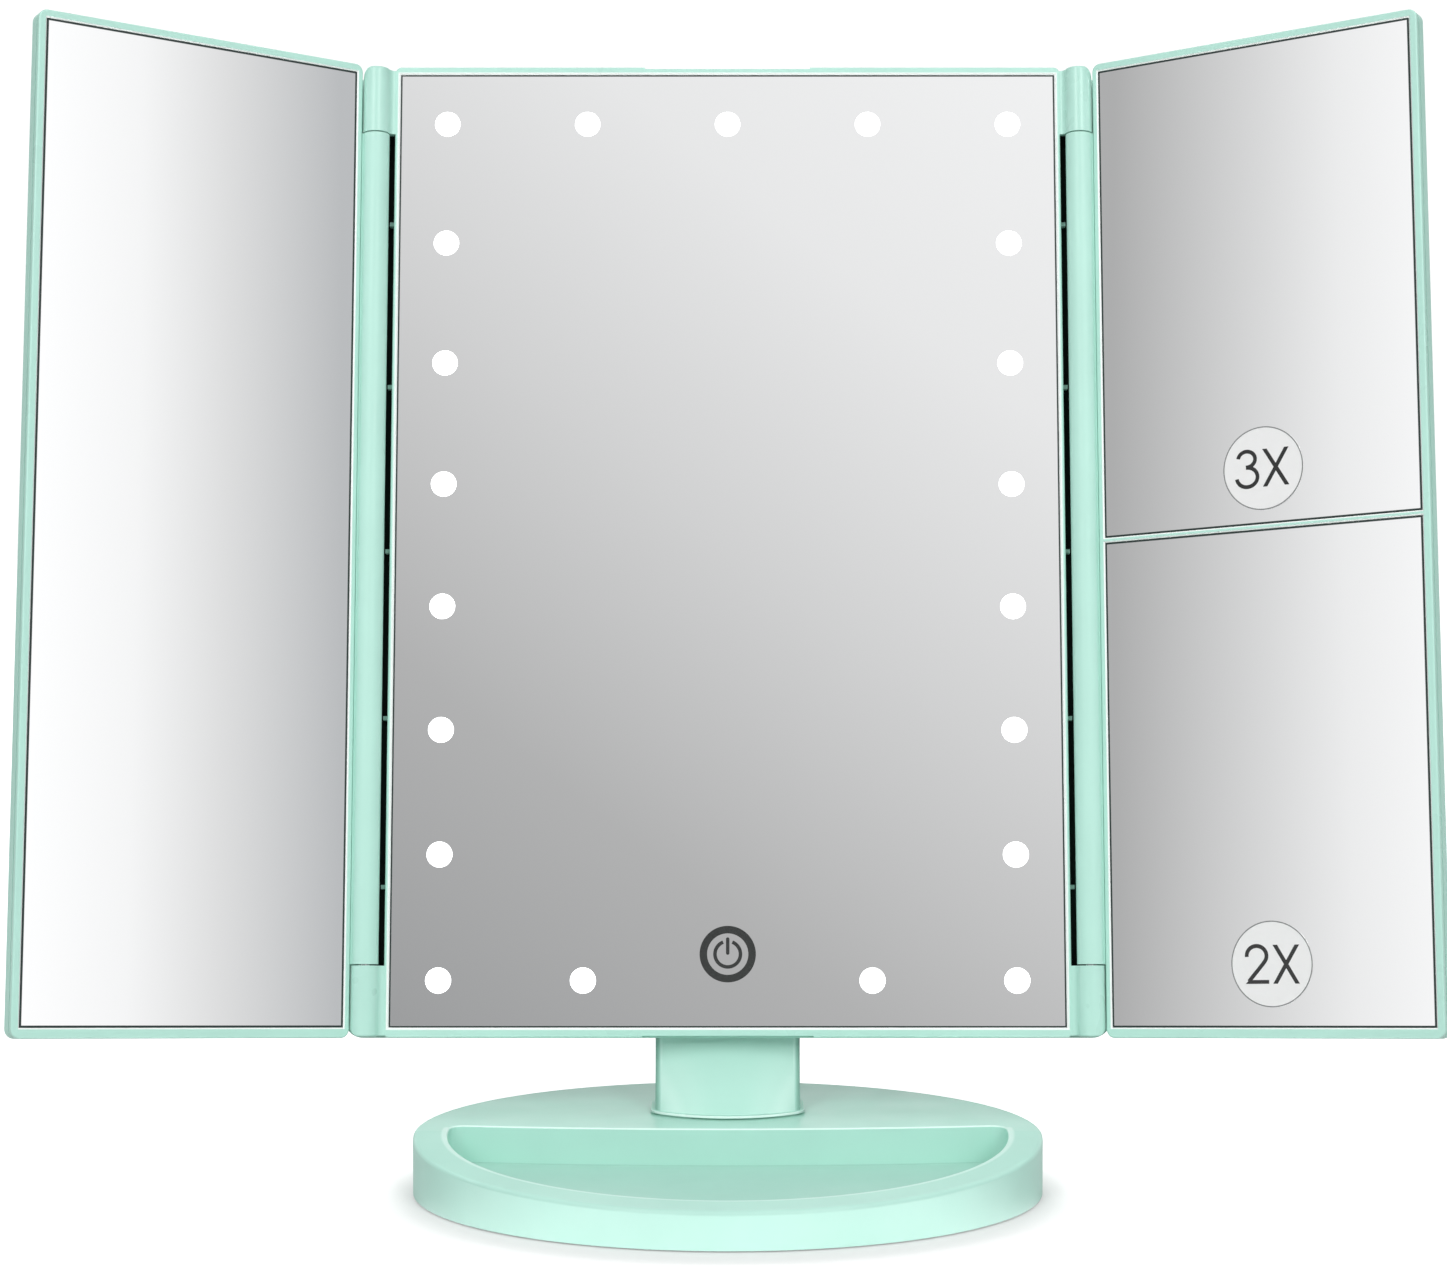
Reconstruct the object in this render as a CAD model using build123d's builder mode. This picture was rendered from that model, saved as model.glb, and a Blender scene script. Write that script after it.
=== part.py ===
from build123d import *
from math import cos, sin, tan, radians
import os

# Trifold vanity mirror.
# World frame: millimetres, +Z up, front toward -Y, origin under the middle of the
# base on the surface it stands on.

# ------------------------------------------------------------------ driving sizes
# base
BASE_A, BASE_B = 74.5, 57.7          # oval half length (X) and half depth (Y)
BASE_Z0 = 0.2                        # lower rim of the shell
DECK_Z = 14.0                        # flat rear half of the top
FRONT_Z = 8.9                        # top of the shell at the very front
BASE_WALL = 2.0
TRAY_A, TRAY_B = 66.4, 49.6          # half-moon tray outline
TRAY_FLOOR = 5.0
TRAY_WALL = 1.6
TRAY_ROUND = 0.5                     # rounding of the tray edge
TRAY_MID_Y, TRAY_END_Y = 2.2, 6.2    # bowed rear wall of the tray
PAD_T, COVER_T = 0.8, 1.6            # anti-slip pad and bottom cover
# neck
NECK_W = 35.2
NECK_FOOT_FRONT, NECK_FOOT_BOW = 12.3, 5.6   # front of the foot and how far it bows
NECK_TOP_BOW = 1.0
NECK_BACK = 30.2
BARREL_R = 5.8
FLANGE_OUT, FLANGE_T, FLANGE_ROUND = 1.15, 0.55, 0.25
FLANGE_GAP = 0.45                    # shadow gap under the flange
SHAFT_R = 2.5
# tilting head
PANEL_TILT = 10.65                   # degrees back from upright
PANEL_Y, PANEL_Z = 12.45, 33.8       # lower edge of the glass plane
HEAD_H = 241.0
BEZEL_W = 166.0
BEZEL_FRONT = 0.35                   # frame stands this far in front of the glass
BEZEL_DEEP = 4.9
GLASS_W, GLASS_V0, GLASS_V1, GLASS_T = 163.2, 2.6, 238.9, 2.0
CASE_W, CASE_BACK, CASE_WALL = 186.0, 18.5, 1.8
LIP_W, SHOULDER_N = 181.0, 5.6       # narrower front of the case; the flat wings lie over its shoulders
AXIS_V, AXIS_N = 9.0, -10.5          # tilt axis inside the head
CUT_HALF, CUT_TOP = 20.65, 16.5      # opening for the neck
# wings
HINGE_X, HINGE_N = 87.6, 0.8         # wing hinge axes, from the middle of the head
KNUCKLE_R = 3.3
KNUCKLE_ROUND, KNUCKLE_SOFT = 2.9, 0.6   # free knuckle ends: corner toward the wing, edge all round
WEB_N, WEB_ARC = 0.3, 1.4            # web between bezel and knuckle: front and hollow radius
KNUCKLE_END, KNUCKLE_INNER = 0.3, 17.3
KNUCKLE_TOP = 0.7                    # upper knuckles end this far below the top of the head
BARREL_GAP = 0.34                    # between a knuckle and the wing barrel
WING_OPEN = 31.7                     # degrees forward of flat
WING_IN, WING_OUT = 3.6, 87.35       # wing plate, measured from its hinge axis
WGLASS_IN, WGLASS_OUT = 5.2, 85.25
WING_T = 5.6
WING_RIM = 1.3                       # thickness of the front rim
DIVIDER = 1.4
PIN_R = 1.25
# lights
LED_X, LED_PITCH_X = 69.9, 34.95
LED_V0, LED_V1 = 13.75, 226.35       # lowest and highest row
LED_R = 3.1
TOUCH_V = 20.1
# battery compartment
CELL_R, CELL_L, CELL_N = 5.15, 44.3, -11.7
BAT_V0, BAT_V1 = 61.0, 113.0
DOOR_W, DOOR_V0, DOOR_V1 = 50.0, 58.0, 116.0

SCREW_V = (18.0, 120.0, 222.0)       # case screws up each side
SCREW_X = 79.8

# ------------------------------------------------------------------ planes
t, p = radians(PANEL_TILT), radians(WING_OPEN)
# panel: x across, y up the glass, z out of the glass toward the user
panel = Plane(origin=(0, PANEL_Y, PANEL_Z), x_dir=(1, 0, 0), z_dir=(0, -cos(t), sin(t)))
rise = Plane(origin=panel.origin, x_dir=(1, 0, 0), z_dir=panel.y_dir)
axis_point = panel.from_local_coords(Vector(0, AXIS_V, AXIS_N))
across = Plane(origin=(0, axis_point.Y, axis_point.Z), x_dir=(0, 1, 0), z_dir=(1, 0, 0))
head_across = Plane(origin=axis_point, x_dir=-panel.z_dir, z_dir=(1, 0, 0))
hinge_left = panel.from_local_coords(Vector(-HINGE_X, 0, HINGE_N))
leaf = Plane(
    origin=hinge_left,
    x_dir=panel.x_dir * cos(p) - panel.z_dir * sin(p),
    z_dir=panel.x_dir * sin(p) + panel.z_dir * cos(p),
)
leaf_rise = Plane(origin=hinge_left, x_dir=leaf.x_dir, z_dir=leaf.y_dir)


def block(plane, x0, x1, y0, y1, z0, z1, radius=0, mode=Mode.ADD):
    """A rectangular block between two corners, in the frame of a plane."""
    with BuildSketch(plane.offset(z0)) as outline:
        with Locations(((x0 + x1) / 2, (y0 + y1) / 2)):
            if radius:
                RectangleRounded(x1 - x0, y1 - y0, radius)
            else:
                Rectangle(x1 - x0, y1 - y0)
    extrude(outline.sketch, amount=z1 - z0, mode=mode)


def rounds(plane, points, radius, z0, z1, mode=Mode.ADD):
    """Round bars standing on a plane at the given points."""
    with BuildSketch(plane.offset(z0)) as discs:
        with Locations(*points):
            Circle(radius)
    extrude(discs.sketch, amount=z1 - z0, mode=mode)


# rows and columns of the lights
led_rows = [LED_V0 + (LED_V1 - LED_V0) * i / 7 for i in range(8)]
led_points = (
    [(x, LED_V1) for x in (-LED_X, -LED_PITCH_X, 0, LED_PITCH_X, LED_X)]
    + [(s * LED_X, v) for v in led_rows[:-1] for s in (-1, 1)]
    + [(s * LED_PITCH_X, LED_V0) for s in (-1, 1)]
)
case_screws_at = [(s * SCREW_X, v) for v in SCREW_V for s in (-1, 1)]
cell_x = (-16.2, -5.4, 5.4, 16.2)
rib_v = [36.4, 77.6, 118.9, 160.1, 201.4]
top = CASE_BACK - 1.6                 # inside of the rear wall

# ================================================================== BASE
slope = (DECK_Z - FRONT_Z) / BASE_B
base_screws_at = [(-60, 12), (60, 12), (-30, 44), (30, 44)]
neck_screws_at = [(-10.5, 24.0), (10.5, 24.0)]


def oval_body(a, b, z0, z1):
    """Oval block whose top is flat behind and falls away toward the front."""
    with BuildSketch(Plane.XY.offset(z0)) as oval:
        Ellipse(a, b)
    extrude(oval.sketch, amount=z1 - z0)
    with BuildSketch(Plane.YZ) as fall:
        with BuildLine():
            Polyline((0, z1), (-80, z1 - 80 * slope), (-80, z1 + 9), (0, z1 + 9), close=True)
        make_face()
    extrude(fall.sketch, amount=100, both=True, mode=Mode.SUBTRACT)


def tray_outline(a, b, mid, end, corner):
    """Half-moon: the front part of an oval closed by a slightly bowed back line."""
    with BuildLine() as border:
        ThreePointArc((-90, end + 3.6), (0, mid), (90, end + 3.6))
        Polyline((90, end + 3.6), (90, -70), (-90, -70), (-90, end + 3.6))
    make_face(border.edges())
    Ellipse(a, b, mode=Mode.INTERSECT)
    fillet(vertices().group_by(Axis.Y)[-1], corner)


with BuildPart() as shell_hollow:
    oval_body(BASE_A - BASE_WALL, BASE_B - BASE_WALL, BASE_Z0, DECK_Z - BASE_WALL)

with BuildPart() as tray_tub:
    with BuildSketch(Plane.XY.offset(TRAY_FLOOR - TRAY_WALL)):
        tray_outline(TRAY_A + TRAY_WALL, TRAY_B + TRAY_WALL, TRAY_MID_Y + TRAY_WALL, TRAY_END_Y + TRAY_WALL, 4.6)
    extrude(amount=DECK_Z - 1.2 - TRAY_FLOOR + TRAY_WALL)
    with BuildSketch(Plane.YZ):
        with BuildLine():
            Polyline((0, DECK_Z - 1.2), (-80, DECK_Z - 1.2 - 80 * slope), (-80, 30), (0, 30), close=True)
        make_face()
    extrude(amount=100, both=True, mode=Mode.SUBTRACT)

with BuildPart() as base_shell:
    oval_body(BASE_A, BASE_B, BASE_Z0, DECK_Z)
    fillet(edges().filter_by(lambda e: e.center().Z > 8 and e.length > 60 and e.geom_type != GeomType.LINE), 1.0)
    add(shell_hollow.part, mode=Mode.SUBTRACT)
    add(tray_tub.part)
    with BuildSketch(Plane.XY.offset(TRAY_FLOOR)):
        tray_outline(TRAY_A, TRAY_B, TRAY_MID_Y, TRAY_END_Y, 3.2)
    extrude(amount=20, mode=Mode.SUBTRACT)
    tray_edge = []
    for face in faces().filter_by(lambda f: f.geom_type == GeomType.PLANE and f.normal_at().Z > 0.9 and f.center().Z > 8):
        tray_edge += [e for e in face.edges() if (e.center().X / (TRAY_A + 0.4)) ** 2 + (e.center().Y / (TRAY_B + 0.4)) ** 2 < 1 and abs(e.center().Y) > 0.2]
    fillet(tray_edge, TRAY_ROUND)
    rounds(Plane.XY, base_screws_at, 3.5, PAD_T + COVER_T, DECK_Z - 1.0)
    rounds(Plane.XY, base_screws_at, 1.35, PAD_T + COVER_T, DECK_Z - 3.0, mode=Mode.SUBTRACT)
    rounds(Plane.XY, neck_screws_at, 1.6, 2, 20, mode=Mode.SUBTRACT)
base_shell.part.label = "base_shell"

with BuildPart() as base_bottom_cover:
    with BuildSketch(Plane.XY.offset(PAD_T)):
        Ellipse(BASE_A - BASE_WALL - 0.25, BASE_B - BASE_WALL - 0.25)
    extrude(amount=COVER_T)
    rounds(Plane.XY, base_screws_at, 1.6, 0, 3, mode=Mode.SUBTRACT)
    with Locations(*[(x, y, PAD_T) for x, y in base_screws_at]):
        Cone(2.7, 1.6, 1.1, align=(Align.CENTER, Align.CENTER, Align.MIN), mode=Mode.SUBTRACT)
base_bottom_cover.part.label = "base_bottom_cover"

with BuildPart() as anti_slip_pad:
    with BuildSketch(Plane.XY):
        Ellipse(BASE_A - 3.4, BASE_B - 3.4)
    extrude(amount=PAD_T)
anti_slip_pad.part.label = "anti_slip_pad"

# steel ballast under the rear of the deck
with BuildPart() as base_weight:
    with BuildSketch(Plane.XY.offset(PAD_T + COVER_T)):
        Ellipse(BASE_A - 5.0, BASE_B - 5.0)
        with Locations((0, -100 + 12.5)):
            Rectangle(200, 200, mode=Mode.SUBTRACT)
        with Locations(*base_screws_at):
            Circle(4.2, mode=Mode.SUBTRACT)
        with Locations(*neck_screws_at):
            Circle(4.6, mode=Mode.SUBTRACT)
    extrude(amount=6.0)
base_weight.part.label = "base_weight"

with BuildPart() as base_screws:
    for x, y in base_screws_at:
        with Locations((x, y, PAD_T)):
            Cone(2.6, 1.3, 1.05, align=(Align.CENTER, Align.CENTER, Align.MIN))
            Cylinder(1.3, 8.0, align=(Align.CENTER, Align.CENTER, Align.MIN))
base_screws.part.label = "base_screws"

# ------------------------------------------------------------------ neck
ay, az = axis_point.Y, axis_point.Z


neck_front = ay - BARREL_R + 0.02


def neck_plan(front, bow, corner, grow=0):
    """Neck section: flat back and sides, front bowed out, corners rounded."""
    half = NECK_W / 2 + grow
    with BuildLine() as border:
        ThreePointArc((-half, front + bow), (0, front - grow), (half, front + bow))
        Polyline((half, front + bow), (half, NECK_BACK + grow), (-half, NECK_BACK + grow), (-half, front + bow))
    make_face(border.edges())
    fillet(vertices().group_by(Axis.Y)[-1], 1.6 + grow)
    fillet(vertices().group_by(Axis.Y)[0], corner + grow)


def neck_rake(z):
    """Front of the neck: leans back from the foot, then runs smoothly upright."""
    lean = (neck_front - NECK_FOOT_FRONT) / (30.0 - DECK_Z)
    if z < 24.7:
        return NECK_FOOT_FRONT + lean * (z - DECK_Z)
    return neck_front - lean / 21.2 * (35.3 - min(z, 35.3)) ** 2


with BuildPart() as neck_column:
    for z in (DECK_Z, 18.0, 22.0, 26.0, 30.0, 33.0, 36.0):
        with BuildSketch(Plane.XY.offset(z)):
            part_way = (z - DECK_Z) / (36.0 - DECK_Z)
            neck_plan(neck_rake(z), NECK_FOOT_BOW + (NECK_TOP_BOW - NECK_FOOT_BOW) * part_way, 2.6 - 0.4 * part_way)
    loft()
    with BuildSketch(Plane.XY.offset(36.0)):
        neck_plan(neck_front, NECK_TOP_BOW, 2.2)
    extrude(amount=az + BARREL_R + 1 - 36.0)
    # round top about the tilt axis
    with BuildSketch(Plane.YZ):
        with BuildLine():
            Polyline((ay - BARREL_R, az), (0, az), (0, 0), (60, 0), (60, az), (ay + BARREL_R, az))
            ThreePointArc((ay + BARREL_R, az), (ay, az + BARREL_R), (ay - BARREL_R, az))
        make_face()
    extrude(amount=40, both=True, mode=Mode.INTERSECT)
    flange_z = DECK_Z + FLANGE_GAP + FLANGE_T
    with BuildSketch(Plane.XY.offset(DECK_Z + FLANGE_GAP)):
        neck_plan(NECK_FOOT_FRONT, NECK_FOOT_BOW, 2.6, FLANGE_OUT)
    extrude(amount=FLANGE_T)
    flange_top = faces().filter_by(lambda f: f.geom_type == GeomType.PLANE and abs(f.center().Z - flange_z) < 0.01)[0]
    fillet(flange_top.outer_wire().edges(), FLANGE_ROUND)
    # hollow from below, with two screw posts left standing
    with BuildSketch(Plane.YZ):
        with BuildLine():
            Polyline((18.6, DECK_Z), (21.4, 32.0), (27.6, 32.0), (27.8, DECK_Z), close=True)
        make_face()
    extrude(amount=14.2, both=True, mode=Mode.SUBTRACT)
    rounds(Plane.XY, neck_screws_at, 3.2, DECK_Z, 33.0)
    rounds(Plane.XY, neck_screws_at, 1.35, DECK_Z, 28.0, mode=Mode.SUBTRACT)
    rounds(across, [(0, 0)], SHAFT_R, -30, 30, mode=Mode.SUBTRACT)
neck_column.part.label = "neck_column"

with BuildPart() as neck_screws:
    for x, y in neck_screws_at:
        with Locations((x, y, DECK_Z - BASE_WALL)):
            Cylinder(3.0, 1.8, align=(Align.CENTER, Align.CENTER, Align.MAX))
            Cylinder(1.3, 14.0, align=(Align.CENTER, Align.CENTER, Align.MIN))
neck_screws.part.label = "neck_screws"

with BuildPart() as tilt_shaft:
    rounds(across, [(0, 0)], SHAFT_R, -33.0, 33.0)
    chamfer(edges().filter_by(GeomType.CIRCLE), 0.4)
tilt_shaft.part.label = "tilt_shaft"

# ================================================================== HEAD
knuckle_spans = ((KNUCKLE_END, KNUCKLE_INNER), (HEAD_H - KNUCKLE_INNER, HEAD_H - KNUCKLE_TOP))
with BuildPart() as knuckles:
    for v0, v1 in knuckle_spans:
        rounds(rise, [(-HINGE_X, -HINGE_N), (HINGE_X, -HINGE_N)], KNUCKLE_R, v0, v1)
    ends = edges().filter_by(GeomType.CIRCLE).group_by(Axis(rise.origin, rise.z_dir))
    fillet(ends[0] + ends[-1], KNUCKLE_SOFT)
    # level with the bezel on its side, rounded off toward the wing
    block(panel, -HINGE_X - KNUCKLE_R, HINGE_X + KNUCKLE_R, KNUCKLE_END, HEAD_H - KNUCKLE_TOP, -8, 8, radius=KNUCKLE_ROUND, mode=Mode.INTERSECT)

# web of a knuckle: its front is level with the bezel and runs up the barrel in a hollow
web_x = HINGE_X - ((KNUCKLE_R + WEB_ARC) ** 2 - (WEB_N + WEB_ARC - HINGE_N) ** 2) ** 0.5
web_c = Vector(web_x, WEB_N + WEB_ARC)
meet = Vector(HINGE_X, HINGE_N) + (web_c - Vector(HINGE_X, HINGE_N)).normalized() * KNUCKLE_R
halfway = web_c + (meet - web_c + Vector(0, -WEB_ARC)).normalized() * WEB_ARC
with BuildPart() as knuckle_webs:
    for v0, v1 in ((KNUCKLE_END + 0.3, KNUCKLE_INNER), (HEAD_H - KNUCKLE_INNER, HEAD_H - KNUCKLE_TOP - 0.3)):
        for s in (-1, 1):
            with BuildSketch(rise.offset(v0)) as web:
                with BuildLine() as border:
                    ThreePointArc((s * web_x, -WEB_N), (s * halfway.X, -halfway.Y), (s * meet.X, -meet.Y))
                    Polyline(
                        (s * meet.X, -meet.Y), (s * (HINGE_X - 2.0), -HINGE_N), (s * (HINGE_X - 2.0), 1.4),
                        (s * (BEZEL_W / 2 - 0.5), 1.4), (s * (BEZEL_W / 2 - 0.5), -WEB_N), (s * web_x, -WEB_N),
                    )
                make_face(border.edges())
            extrude(web.sketch, amount=v1 - v0)

with BuildPart() as front_bezel:
    block(panel, -BEZEL_W / 2, BEZEL_W / 2, 0, HEAD_H, -BEZEL_DEEP, BEZEL_FRONT, radius=1.4)
    outer_rim = faces().sort_by(Axis(panel.origin, panel.z_dir))[-1].edges()
    fillet(outer_rim, 0.55)
    # seat of the glass, window in its ledge, relief behind the ledge
    block(panel, -GLASS_W / 2 - 0.12, GLASS_W / 2 + 0.12, GLASS_V0 - 0.12, GLASS_V1 + 0.12, -GLASS_T, 5, mode=Mode.SUBTRACT)
    block(panel, -78.0, 78.0, 6.5, 235.0, -6, -1, mode=Mode.SUBTRACT)
    block(panel, -BEZEL_W / 2 + 1.8, BEZEL_W / 2 - 1.8, 2.0, 239.0, -6, -3.5, mode=Mode.SUBTRACT)
    # the lip along the glass is bevelled
    lip = faces().filter_by(panel).sort_by(Axis(panel.origin, panel.z_dir))[-1].inner_wires()[0].edges()
    chamfer(lip, 0.4)
    # opening over the neck, and the shallow finger recesses top and bottom
    block(panel, -CUT_HALF, CUT_HALF, -5, 8.0, -6, -2.2, mode=Mode.SUBTRACT)
    block(panel, -CUT_HALF, CUT_HALF, -5, 0.5, -1.2, 5, mode=Mode.SUBTRACT)
    block(panel, -CUT_HALF, CUT_HALF, HEAD_H - 0.5, HEAD_H + 5, -6, 5, mode=Mode.SUBTRACT)
    # hinge knuckles at the four corners, and small ribs across the gutters between them
    add(knuckle_webs.part)
    add(knuckles.part)
    for s in (-1, 1):
        for v in rib_v:
            block(panel, min(s * (BEZEL_W / 2 - 0.3), s * (BEZEL_W / 2 + 1.3)), max(s * (BEZEL_W / 2 - 0.3), s * (BEZEL_W / 2 + 1.3)), v - 0.5, v + 0.5, -4.6, -2.6)
    for s in (-1, 1):
        rounds(rise, [(s * HINGE_X, -HINGE_N)], PIN_R, 4.0, KNUCKLE_INNER + 1, mode=Mode.SUBTRACT)
        rounds(rise, [(s * HINGE_X, -HINGE_N)], PIN_R, HEAD_H - KNUCKLE_INNER - 1, HEAD_H - 4.0, mode=Mode.SUBTRACT)
    # screw posts behind the ledge
    rounds(panel, case_screws_at, 2.8, -9.0, -2.6)
    rounds(panel, case_screws_at, 1.35, -9.0, -3.6, mode=Mode.SUBTRACT)
front_bezel.part.label = "front_bezel"

with BuildPart() as centre_mirror:
    block(panel, -GLASS_W / 2, GLASS_W / 2, GLASS_V0, GLASS_V1, -GLASS_T, 0)
    rounds(panel, led_points, LED_R, -GLASS_T, 0, mode=Mode.SUBTRACT)
centre_mirror.part.label = "centre_mirror"


def light_band(outer, inner, v0, v1, foot_in):
    """Band that follows the lights: two columns, a top row and two short feet."""
    with Locations((0, (v0 + v1) / 2)):
        Rectangle(2 * outer, v1 - v0)
    with Locations((0, (v0 + v1 - 14) / 2)):
        Rectangle(2 * inner, v1 - v0 - 14, mode=Mode.SUBTRACT)
    for s in (-1, 1):
        with Locations((s * (foot_in + inner + 0.5) / 2, v0 + 6.75)):
            Rectangle(inner + 0.5 - foot_in, 13.5)


with BuildPart() as light_diffuser:
    with BuildSketch(panel.offset(-2.8)):
        light_band(76.9, 62.9, 7.2, 233.2, 27.6)
    extrude(amount=0.75)
    rounds(panel, led_points, LED_R - 0.03, -2.8, -0.03)
light_diffuser.part.label = "light_diffuser"

with BuildPart() as led_board:
    with BuildSketch(panel.offset(-4.85)):
        light_band(76.4, 63.4, 7.4, 233.0, 28.0)
    extrude(amount=1.0)
led_board.part.label = "led_board"

with BuildPart() as led_chips:
    with BuildSketch(panel.offset(-3.85)):
        with Locations(*led_points):
            Rectangle(3.5, 2.8)
    extrude(amount=0.8)
led_chips.part.label = "led_chips"

# black inner frame: it carries the boards, lines the hinge gutters and holds the tilt shaft
with BuildPart() as inner_frame:
    block(panel, -88.3, 88.3, 2.1, 238.9, -6.3, -BEZEL_DEEP, radius=1.8)
    block(panel, -CUT_HALF, CUT_HALF, -5, CUT_TOP, -8, 5, mode=Mode.SUBTRACT)
    rounds(panel, case_screws_at, 3.2, -8, 5, mode=Mode.SUBTRACT)
    # front and roof of the neck pocket
    block(panel, -CUT_HALF - 1.4, CUT_HALF + 1.4, 6.8, CUT_TOP + 1.4, -6.3, -2.55)
    block(panel, -CUT_HALF, CUT_HALF, 6.0, CUT_TOP, -8, -3.6, mode=Mode.SUBTRACT)
    # bearing cheeks for the tilt shaft
    for s in (-1, 1):
        block(panel, min(s * 20.65, s * 28.4), max(s * 20.65, s * 28.4), 2.1, 15.6, -16.6, -5.5, radius=0)
    rounds(head_across, [(0, 0)], 4.0, -28.4, -20.65, mode=Mode.SUBTRACT)
    rounds(head_across, [(0, 0)], 4.0, 20.65, 28.4, mode=Mode.SUBTRACT)
    # posts of the control board, passage of the touch spring
    rounds(panel, [(-16, 27), (16, 27), (-16, 47), (16, 47)], 2.2, -9.0, -6.0)
    rounds(panel, [(-16, 27), (16, 27), (-16, 47), (16, 47)], 0.95, -9.0, -6.6, mode=Mode.SUBTRACT)
    rounds(panel, [(0, 31)], 3.4, -8, 0, mode=Mode.SUBTRACT)
    block(panel, 33.0, 54.0, 37.6, 42.6, -8, 0, radius=2.0, mode=Mode.SUBTRACT)
inner_frame.part.label = "inner_frame"

with BuildPart() as back_cover:
    block(panel, -CASE_W / 2, CASE_W / 2, 0, HEAD_H, -CASE_BACK, -SHOULDER_N, radius=4.5)
    fillet(faces().sort_by(Axis(panel.origin, panel.z_dir))[0].edges(), 2.6)
    block(panel, -LIP_W / 2, LIP_W / 2, 0, HEAD_H, -SHOULDER_N - 0.1, -BEZEL_DEEP - 0.05, radius=3.0)
    ledge = SHOULDER_N + CASE_WALL
    block(panel, -CASE_W / 2 + CASE_WALL, CASE_W / 2 - CASE_WALL, CASE_WALL, HEAD_H - CASE_WALL, -top, -ledge, radius=2.7, mode=Mode.SUBTRACT)
    block(panel, -LIP_W / 2 + CASE_WALL, LIP_W / 2 - CASE_WALL, CASE_WALL, HEAD_H - CASE_WALL, -ledge - 0.1, 0, radius=1.4, mode=Mode.SUBTRACT)
    # opening for the neck, with a roof wall above it
    block(panel, -CUT_HALF - 1.5, CUT_HALF + 1.5, CUT_TOP, CUT_TOP + 1.5, -top - 0.5, -6.45)
    block(panel, -CUT_HALF, CUT_HALF, -5, CUT_TOP, -CASE_BACK - 5, 0, mode=Mode.SUBTRACT)
    # shallow recess in the top edge, in line with the bezel
    block(panel, -CUT_HALF, CUT_HALF, HEAD_H - 0.5, HEAD_H + 5, -7, 5, mode=Mode.SUBTRACT)
    # battery compartment walls and door frame
    block(panel, -28.0, 28.0, DOOR_V0 - 3, DOOR_V1 + 3, -top - 0.5, -top + 1.6)
    block(panel, -23.6, 23.6, BAT_V0 - 1.6, BAT_V1 + 1.6, -top, -6.45)
    block(panel, -22.0, 22.0, BAT_V0, BAT_V1, -CASE_BACK - 1, 0, mode=Mode.SUBTRACT)
    block(panel, -DOOR_W / 2, DOOR_W / 2, DOOR_V0, DOOR_V1, -CASE_BACK - 1, -top, radius=2.5, mode=Mode.SUBTRACT)
    # screw columns with recessed heads
    rounds(panel, case_screws_at, 3.8, -top - 0.5, -9.1)
    rounds(panel, case_screws_at, 1.6, -CASE_BACK, 0, mode=Mode.SUBTRACT)
    rounds(panel, case_screws_at, 2.8, -CASE_BACK - 1, -14.0, mode=Mode.SUBTRACT)
    # charging socket opening in the bottom edge, posts of its board
    block(panel, 40.8, 49.2, -2, 4, -13.6, -10.4, mode=Mode.SUBTRACT)
    rounds(panel, [(39, 13), (51, 13)], 2.2, -top - 0.5, -14.65)
back_cover.part.label = "back_cover"

with BuildPart() as case_screws:
    rounds(panel, case_screws_at, 2.5, -15.8, -14.0)
    rounds(panel, case_screws_at, 1.3, -14.0, -5.0)
    for x, v in case_screws_at:
        block(panel, x - 0.3, x + 0.3, v - 1.5, v + 1.5, -16, -15.0, mode=Mode.SUBTRACT)
        block(panel, x - 1.5, x + 1.5, v - 0.3, v + 0.3, -16, -15.0, mode=Mode.SUBTRACT)
case_screws.part.label = "case_screws"

with BuildPart() as wing_hinge_pins:
    for s in (-1, 1):
        rounds(rise, [(s * HINGE_X, -HINGE_N)], PIN_R, 4.1, 27.0)
        rounds(rise, [(s * HINGE_X, -HINGE_N)], PIN_R, HEAD_H - 27.0, HEAD_H - 4.1)
wing_hinge_pins.part.label = "wing_hinge_pins"

# tilt bearing: plastic bush in each cheek, friction washer outside the neck, clip on the shaft end
with BuildPart() as tilt_bush_left:
    rounds(head_across, [(0, 0)], 4.0, -28.4, -20.65)
    rounds(head_across, [(0, 0)], SHAFT_R + 0.05, -30, -20, mode=Mode.SUBTRACT)
tilt_bush_left.part.label = "tilt_bush_left"

with BuildPart() as tilt_bush_right:
    mirror(tilt_bush_left.part, about=Plane.YZ)
tilt_bush_right.part.label = "tilt_bush_right"

with BuildPart() as friction_washers:
    for s in (-1, 1):
        a, b = sorted((s * 18.0, s * 20.65))
        rounds(head_across, [(0, 0)], 5.4, a, b)
        rounds(head_across, [(0, 0)], SHAFT_R + 0.1, a, b, mode=Mode.SUBTRACT)
friction_washers.part.label = "friction_washers"

with BuildPart() as shaft_collars:
    for s in (-1, 1):
        a, b = sorted((s * 28.8, s * 32.4))
        rounds(across, [(0, 0)], 3.8, a, b)
        rounds(across, [(0, 0)], SHAFT_R, a, b, mode=Mode.SUBTRACT)
shaft_collars.part.label = "shaft_collars"

# touch key: electrode on the back of the glass, spring to the board
with BuildPart() as touch_electrode:
    with BuildSketch(panel.offset(-2.3)):
        with Locations((0, TOUCH_V)):
            Circle(6.0)
        with Locations((0, 27.5)):
            Rectangle(3.6, 10)
    extrude(amount=0.3)
touch_electrode.part.label = "touch_electrode"

with BuildPart() as touch_spring:
    rounds(panel, [(0, 31)], 2.2, -9.0, -2.3)
    rounds(panel, [(0, 31)], 1.7, -9.0, -2.8, mode=Mode.SUBTRACT)
touch_spring.part.label = "touch_spring"

with BuildPart() as control_board:
    block(panel, -19.5, 19.5, 23.5, 50.5, -10.2, -9.0)
    rounds(panel, [(-16, 27), (16, 27), (-16, 47), (16, 47)], 1.1, -11, -8, mode=Mode.SUBTRACT)
control_board.part.label = "control_board"

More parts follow.
